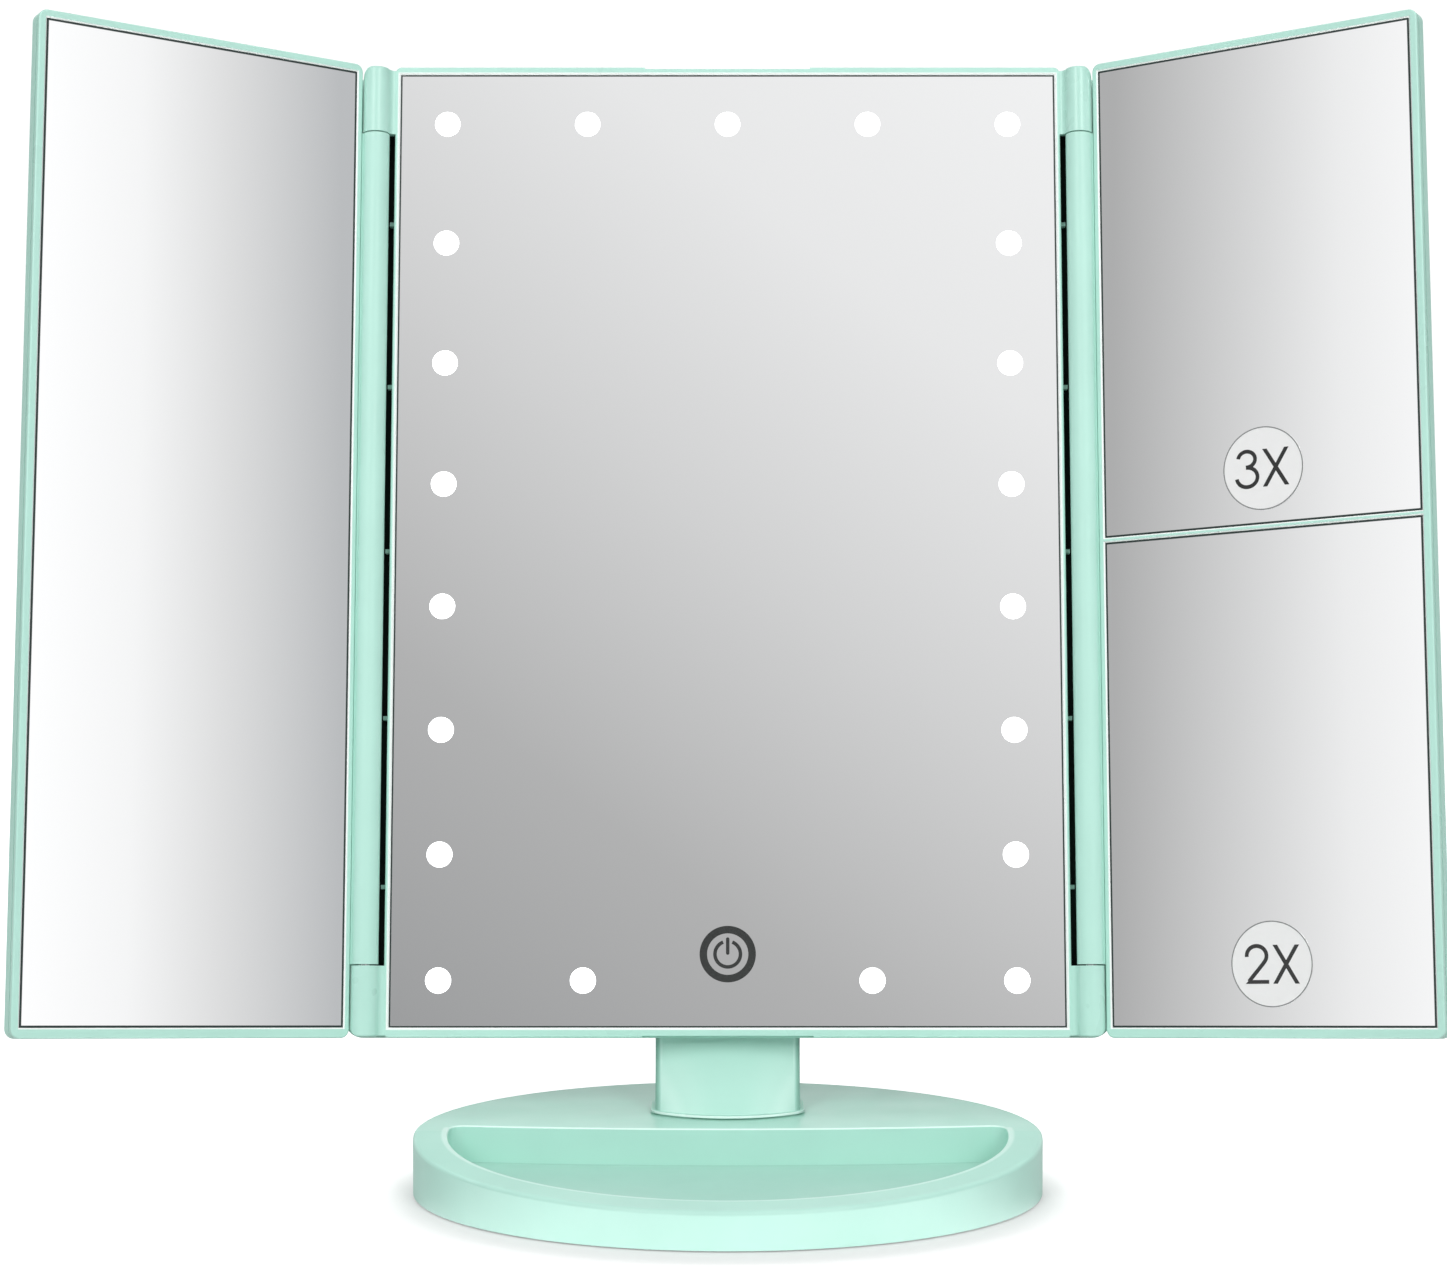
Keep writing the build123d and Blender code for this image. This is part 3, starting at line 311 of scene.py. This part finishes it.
give(metal("zinc", (0.62, 0.64, 0.67), 0.32), "base_screws", "neck_screws", "case_screws", "board_screws", "touch_spring", "usb_socket")
give(metal("steel_pin", (0.60, 0.61, 0.63), 0.25, (1, 1, 0.1)), "wing_hinge_pins")
give(metal("steel_shaft", (0.60, 0.61, 0.63), 0.25, (0.1, 1, 1)), "tilt_shaft", "shaft_collars", "friction_washers")
give(metal("ballast", (0.35, 0.36, 0.38), 0.5), "base_weight")
give(metal("nickel", (0.70, 0.68, 0.62), 0.3), "battery_contacts")
give(metal("copper", (0.85, 0.45, 0.28), 0.35), "touch_electrode")


# ----------------------------------------------------------------------------
# mirror glass: silvered face, dark edge of the silvering
# ----------------------------------------------------------------------------
def silver(name, spot, rim=0.36):
    """rim is the width of the dark line along the edge."""
    origin, across, x0, x1, v0, v1 = spot
    m, t, b = material(name)
    where = t.position()
    d = t.beyond(t.along(where, origin, across), t.along(where, origin, UP), x0, x1, v0, v1)
    edge = t.step(d, -rim, -rim + 0.14)
    haze = t.noise(where, 0.02, 2.0)
    tint = t.mix(haze, (0.925, 0.93, 0.935, 1), (0.935, 0.94, 0.945, 1))
    t.link(t.mix(edge, tint, (0.022, 0.036, 0.034, 1)), b.inputs["Base Color"])
    t.link(t.step(d, -rim, -rim + 0.14, 1.0, 0.0), b.inputs["Metallic"])
    t.link(t.step(d, -rim, -rim + 0.14, 0.012, 0.25), b.inputs["Roughness"])
    b.inputs["Specular IOR Level"].default_value = 0.3
    return m


give(silver("silver_centre", glass_head), "centre_mirror")
give(silver("silver_left", glass_left, 0.50), "left_wing_mirror")
give(silver("silver_upper", glass_upper, 0.46), "upper_3x_mirror")
give(silver("silver_lower", glass_lower, 0.46), "lower_2x_mirror")

# light spots: milky plastic lit from behind
m, t, b = material("lit_diffuser")
where = t.position()
glow = t.noise(where, 0.5, 2.0)
t.link(t.mix(glow, (0.96, 0.97, 1.0, 1), (1.0, 1.0, 1.0, 1)), b.inputs["Base Color"])
t.link(t.mix(glow, (0.97, 0.985, 1.0, 1), (1.0, 1.0, 1.0, 1)), b.inputs["Emission Color"])
b.inputs["Emission Strength"].default_value = 2.2
b.inputs["Roughness"].default_value = 0.4
give(m, "light_diffuser")
lit = m


# ----------------------------------------------------------------------------
# labels and prints
# ----------------------------------------------------------------------------
def film(name, colour, rough=0.35, spec=0.5):
    m, t, b = material(name)
    where = t.position()
    n = t.noise(where, 0.8, 2.0)
    t.link(t.mix(n, (*[c * 0.97 for c in colour], 1), (*colour, 1)), b.inputs["Base Color"])
    t.link(t.step(n, 0.3, 0.7, rough - 0.04, rough + 0.04, "LINEAR"), b.inputs["Roughness"])
    b.inputs["Specular IOR Level"].default_value = spec
    return m


give(film("label_film", (0.83, 0.83, 0.83)), "label_3x", "label_2x")
ink_black = film("ink_black", (0.004, 0.004, 0.004), 0.4)
ink_grey = film("ink_grey", (0.205, 0.215, 0.215), 0.4)
ink_key = film("ink_key", (0.026, 0.028, 0.0275), 0.45, 0.25)


def solid(name, loops, place, low, high, ink, body):
    """A thin printed layer: each loop of 2-D points (millimetres) becomes a closed prism between two heights."""
    bm = bmesh.new()
    for ring in loops:
        outer, inner = ring if isinstance(ring, tuple) else (ring, None)
        if inner is None:
            lower = [bm.verts.new(place(x, y, low)) for x, y in outer]
            upper = [bm.verts.new(place(x, y, high)) for x, y in outer]
            n = len(outer)
            bm.faces.new(upper)
            bm.faces.new(lower[::-1])
            for i in range(n):
                j = (i + 1) % n
                bm.faces.new((lower[i], lower[j], upper[j], upper[i]))
        else:  # a band between two curves with the same number of points
            n = len(outer)
            closed = outer[0] != outer[-1] and ring[1] is not None and getattr(outer, "closed", False)
            lo_o = [bm.verts.new(place(x, y, low)) for x, y in outer]
            up_o = [bm.verts.new(place(x, y, high)) for x, y in outer]
            lo_i = [bm.verts.new(place(x, y, low)) for x, y in inner]
            up_i = [bm.verts.new(place(x, y, high)) for x, y in inner]
            last = n if closed else n - 1
            for i in range(last):
                j = (i + 1) % n
                bm.faces.new((up_o[i], up_o[j], up_i[j], up_i[i]))
                bm.faces.new((lo_o[j], lo_o[i], lo_i[i], lo_i[j]))
                bm.faces.new((lo_o[i], lo_o[j], up_o[j], up_o[i]))
                bm.faces.new((lo_i[j], lo_i[i], up_i[i], up_i[j]))
            if not closed:
                bm.faces.new((lo_o[0], up_o[0], up_i[0], lo_i[0]))
                bm.faces.new((lo_i[-1], up_i[-1], up_o[-1], lo_o[-1]))
    bmesh.ops.recalc_face_normals(bm, faces=bm.faces)
    me = bpy.data.meshes.new(name)
    bm.to_mesh(me)
    bm.free()
    me.materials.append(ink)
    o = bpy.data.objects.new(name, me)
    scene.collection.objects.link(o)
    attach(o, body)
    return o


class Curve(list):
    closed = False


def arc(cx, cy, rx, ry, a0, a1, n=48):
    """Points of an elliptical arc."""
    pts = []
    for i in range(n + 1):
        a = math.radians(a0 + (a1 - a0) * i / n)
        pts.append((cx + rx * math.cos(a), cy + ry * math.sin(a)))
    return pts


def band(points, width):
    """A stroke of constant width along a line of points."""
    left, right = Curve(), Curve()
    for i, p in enumerate(points):
        a = Vector(points[max(0, i - 1)])
        c = Vector(points[min(len(points) - 1, i + 1)])
        d = (c - a).normalized()
        n = Vector((-d.y, d.x)) * width / 2
        left.append((p[0] + n.x, p[1] + n.y))
        right.append((p[0] - n.x, p[1] - n.y))
    return (left, right)


def ring(cx, cy, r0, r1, n=96):
    outer, inner = Curve(), Curve()
    outer.closed = True
    for i in range(n):
        a = 2 * math.pi * i / n
        outer.append((cx + r1 * math.cos(a), cy + r1 * math.sin(a)))
        inner.append((cx + r0 * math.cos(a), cy + r0 * math.sin(a)))
    return (outer, inner)


def cross(x0, x1, y0, y1, stroke):
    """The letter X as one closed outline."""
    w, h = x1 - x0 - stroke, y1 - y0
    cx, cy = (x0 + x1) / 2, (y0 + y1) / 2
    dx, dy = stroke / 2, stroke * h / w / 2
    return [(x0, y0), (x0 + stroke, y0), (cx, cy - dy), (x1 - stroke, y0), (x1, y0), (cx + dx, cy), (x1, y1), (x1 - stroke, y1),
            (cx, cy + dy), (x0 + stroke, y1), (x0, y1), (cx - dx, cy)]


def on_label(a, v):
    """Places print on a label: x to the viewer's right, which is away from the hinge on the right wing."""
    return lambda x, y, n: right_leaf.at(a + x, v + y, GLASS_N + 0.12 + n)


three = arc(-4.10, 2.44, 2.15, 1.91, 172, -90) + [(-4.30, 0.50)]
three_low = [(-4.30, 0.44)] + arc(-4.04, -1.91, 2.62, 2.33, 90, -174)
two = arc(-3.73, 1.91, 2.46, 2.30, 186, -30, 40) + [(-2.1, 0.1), (-5.75, -4.05)]
STROKE = 0.94

at3 = on_label(46.5, 134.8)
solid("print_3x_upper", [band(three, STROKE)], at3, 0.0, 0.020, ink_black, "right_wing")
solid("print_3x_lower", [band(three_low, STROKE)], at3, 0.0, 0.024, ink_black, "right_wing")
solid("print_3x_cross", [cross(-0.10, 6.56, -4.50, 4.62, 1.12)], at3, 0.0, 0.022, ink_black, "right_wing")
solid("print_3x_ring", [ring(0, 0, 9.80, 10.08)], at3, 0.0, 0.020, ink_grey, "right_wing")
at2 = on_label(46.0, 17.3)
solid("print_2x_curve", [band(two, STROKE)], at2, 0.0, 0.020, ink_black, "right_wing")
solid("print_2x_foot", [[(-6.55, -4.62), (-0.72, -4.62), (-0.72, -3.72), (-5.70, -3.72)]], at2, 0.0, 0.024, ink_black, "right_wing")
solid("print_2x_cross", [cross(0.28, 6.86, -4.62, 4.44, 1.12)], at2, 0.0, 0.022, ink_black, "right_wing")
solid("print_2x_ring", [ring(0, 0, 9.80, 10.08)], at2, 0.0, 0.020, ink_grey, "right_wing")

# light spots: round clear windows, level with the glass
rows = [13.75 + (226.35 - 13.75) * i / 7 for i in range(8)]
spots = [(x, 226.35) for x in (-69.9, -34.95, 0.0, 34.95, 69.9)]
spots += [(side * 69.9, v) for v in rows[:-1] for side in (-1, 1)] + [(side * 34.95, 13.75) for side in (-1, 1)]


def disc(cx, cy, r, n=96):
    return [(cx + r * math.cos(2 * math.pi * i / n), cy + r * math.sin(2 * math.pi * i / n)) for i in range(n)]


solid("light_spots", [disc(x, v, 3.12) for x, v in spots], panel, 0.0, 0.02, lit, "head")

# the touch key's symbol, printed on the centre glass
key = lambda x, y, n: panel(x, 20.1 + y, n)
solid("key_ring", [ring(0, 0, 4.98, 6.80)], key, 0.0, 0.02, ink_key, "head")
solid("key_arc", [band(arc(0, 0, 3.08, 3.08, 111, 429, 72), 0.86)], key, 0.0, 0.02, ink_key, "head")
bar = arc(0, 3.62, 0.42, 0.42, 0, 180, 12) + arc(0, 0.25, 0.42, 0.42, 180, 360, 12)
solid("key_bar", [bar], key, 0.0, 0.02, ink_key, "head")

# ----------------------------------------------------------------------------
# studio: pale floor, bright surround with soft grey fields for the mirrors
# ----------------------------------------------------------------------------
floor_mesh = bpy.data.meshes.new("floor")
s = 4.0
floor_mesh.from_pydata([(-s, -s, 0), (s, -s, 0), (s, s, 0), (-s, s, 0)], [], [(0, 1, 2, 3)])
floor = bpy.data.objects.new("floor", floor_mesh)
floor.location.z = -0.0002
scene.collection.objects.link(floor)
m, t, b = material("floor")
b.inputs["Base Color"].default_value = (0.60, 0.60, 0.60, 1)
b.inputs["Roughness"].default_value = 0.9
b.inputs["Specular IOR Level"].default_value = 0.1
b.inputs["Emission Color"].default_value = (1, 1, 1, 1)
# white paper that glows: white where the camera sees it, with a painted contact shadow round the base, and a bright
# glow for gloss rays in front of the object, where the base mirrors it
path = t.new("ShaderNodeLightPath")
gloss = t.math("MULTIPLY", path.outputs["Is Glossy Ray"], t.math("LESS_THAN", path.outputs["Diffuse Depth"], 0.5))
place = t.new("ShaderNodeSeparateXYZ")
t.link(t.new("ShaderNodeTexCoord").outputs["Object"], place.inputs[0])
ahead = t.math("ARCTAN2", t.math("ABSOLUTE", t.math("ADD", place.outputs["X"], -0.006)), t.math("MULTIPLY", place.outputs["Y"], -1.0))
reach = t.math("SQRT", t.math("ADD", t.math("POWER", place.outputs["X"], 2.0), t.math("POWER", place.outputs["Y"], 2.0)))
pool = t.math("MULTIPLY", t.step(ahead, math.radians(86), math.radians(42), 0.0, 7.6), t.step(reach, 0.170, 0.125))
pool = t.math("ADD", pool, t.step(reach, 0.10, 0.30, 0.2, 0.35))
# painted contact shadow: the glow the camera sees dims in an oval round the base
rim_x = t.math("POWER", t.math("DIVIDE", place.outputs["X"], 0.0745), 2.0)
rim_y = t.math("POWER", t.math("DIVIDE", t.math("ADD", place.outputs["Y"], 0.008), 0.0577), 2.0)
out_of_base = t.math("SQRT", t.math("ADD", rim_x, rim_y))
seen = t.step(out_of_base, 0.95, 1.27, 0.29, 0.90)
t.link(t.math("MULTIPLY_ADD", path.outputs["Is Camera Ray"], seen, t.math("MULTIPLY", gloss, pool)), b.inputs["Emission Strength"])
floor_mesh.materials.append(m)

world = bpy.data.worlds.new("studio")
scene.world = world
world.use_nodes = True
t = Tree(world.node_tree)
bg = world.node_tree.nodes["Background"]
out = world.node_tree.nodes["World Output"]
c = t.new("ShaderNodeTexCoord")
sep = t.new("ShaderNodeSeparateXYZ")
t.link(c.outputs["Generated"], sep.inputs[0])
DEG = 180 / math.pi
az = t.math("MULTIPLY", t.math("ARCTAN2", sep.outputs["X"], t.math("MULTIPLY", sep.outputs["Y"], -1.0)), DEG)
el = t.math("MULTIPLY", t.math("ARCSINE", sep.outputs["Z"]), DEG)
side = t.math("ABSOLUTE", az)


def grey(v, tint=0.0):
    r, g, b = lin(v, v, v)
    k = 1 / 0.93
    return (r * k * (1 - tint), g * k, b * k * (1 + tint))


# surround: bright in front, dimmer to the sides; brighter in gloss than it lights
ray = t.new("ShaderNodeLightPath")
gloss = t.math("MULTIPLY", ray.outputs["Is Glossy Ray"], t.math("LESS_THAN", ray.outputs["Diffuse Depth"], 0.5))
front_side = t.step(side, 98.0, 62.0)
rear_side = t.step(side, 118.0, 150.0)
level = t.math("MULTIPLY_ADD", front_side, 0.44, t.math("MULTIPLY_ADD", rear_side, 0.22, 0.16))
shine = t.math("MULTIPLY_ADD", front_side, 0.45, t.math("MULTIPLY_ADD", rear_side, 0.85, 0.22))
level = t.math("MULTIPLY_ADD", gloss, t.math("SUBTRACT", shine, level), level)
high = t.math("MULTIPLY", t.step(side, 60.0, 40.0), t.math("MULTIPLY", t.step(el, 36.0, 44.0), t.step(el, 74.0, 62.0)))
ceiling = t.step(el, 56.0, 64.0)
level = t.math("MULTIPLY_ADD", t.step(el, 48.0, 72.0), t.math("SUBTRACT", 0.60, level), level)
level = t.math("MULTIPLY_ADD", t.math("MULTIPLY", gloss, high), 3.0, level)
level = t.math("MULTIPLY_ADD", t.math("MULTIPLY", gloss, ceiling), 9.0, level)
ambient = t.mix(level, (0.0, 0.0, 0.0, 1), (0.995, 1.0, 1.0, 1))
# field seen in the centre mirror
h = t.math("DIVIDE", t.math("SUBTRACT", el, 10.7), 17.0)
u = t.math("DIVIDE", t.math("ADD", az, 6.5), 13.2)
f = t.math("DIVIDE", t.math("MULTIPLY_ADD", u, 0.58, h), 1.6)
centre = t.ramp(f, [(0.0, grey(157, 0.01)), (0.25, grey(177)), (0.5, grey(208)), (0.75, grey(231)), (1.0, grey(241))])
# fields seen in the wings
w = t.math("SUBTRACT", side, t.math("MULTIPLY", t.math("SUBTRACT", el, 14.2), 0.155))
start = t.math("MULTIPLY_ADD", t.math("GREATER_THAN", az, 0.0), 0.15, 51.95)
k = t.math("DIVIDE", t.math("SUBTRACT", w, start), 6.0, clamp=True)
left_field = t.ramp(k, [(0.0, grey(256)), (0.36, grey(245)), (0.63, grey(222)), (1.0, grey(188, 0.02))])
right_field = t.ramp(k, [(0.0, grey(247)), (0.28, grey(235)), (0.52, grey(216)), (1.0, grey(173))])
wings = t.mix(t.math("GREATER_THAN", az, 0.0), right_field, left_field)
near_centre = t.math("MULTIPLY", t.step(side, 24.0, 12.0), t.math("MULTIPLY", t.step(el, -2.0, 4.0), t.step(el, 42.0, 33.0)))
near_wing = t.math("MULTIPLY", t.math("MULTIPLY", t.step(side, 40.0, 48.0), t.step(side, 78.0, 66.0)), t.math("MULTIPLY", t.step(el, -4.0, 2.0), t.step(el, 45.0, 34.0)))
sky = t.mix(near_wing, t.mix(near_centre, ambient, centre), wings)
sky = t.mix(ray.outputs["Is Camera Ray"], sky, (1.06, 1.06, 1.06, 1))
t.link(sky, bg.inputs["Color"])
bg.inputs["Strength"].default_value = 1.0


def softbox(name, where, at, size, power, glossy=False):
    d = bpy.data.lights.new(name, "AREA")
    d.shape = "RECTANGLE"
    d.size, d.size_y = size
    d.energy = power
    o = bpy.data.objects.new(name, d)
    scene.collection.objects.link(o)
    o.location = where
    o.rotation_euler = (Vector(at) - Vector(where)).to_track_quat("-Z", "Y").to_euler()
    o.visible_glossy = glossy
    o.visible_camera = False
    return o


softbox("key_left", (-0.82, -1.65, 1.15), (0, 0, 0.08), (0.6, 0.9), 11.5, glossy=True)
softbox("key_right", (0.82, -1.65, 1.15), (0, 0, 0.08), (0.6, 0.9), 11.5, glossy=True)
softbox("top", (0.0, -0.1, 1.9), (0, 0, 0.1), (1.4, 1.4), 4)
softbox("back", (0.0, 1.5, 0.9), (0, 0.03, 0.02), (1.6, 0.5), 3.6)

# ----------------------------------------------------------------------------
bpy.context.view_layer.update()
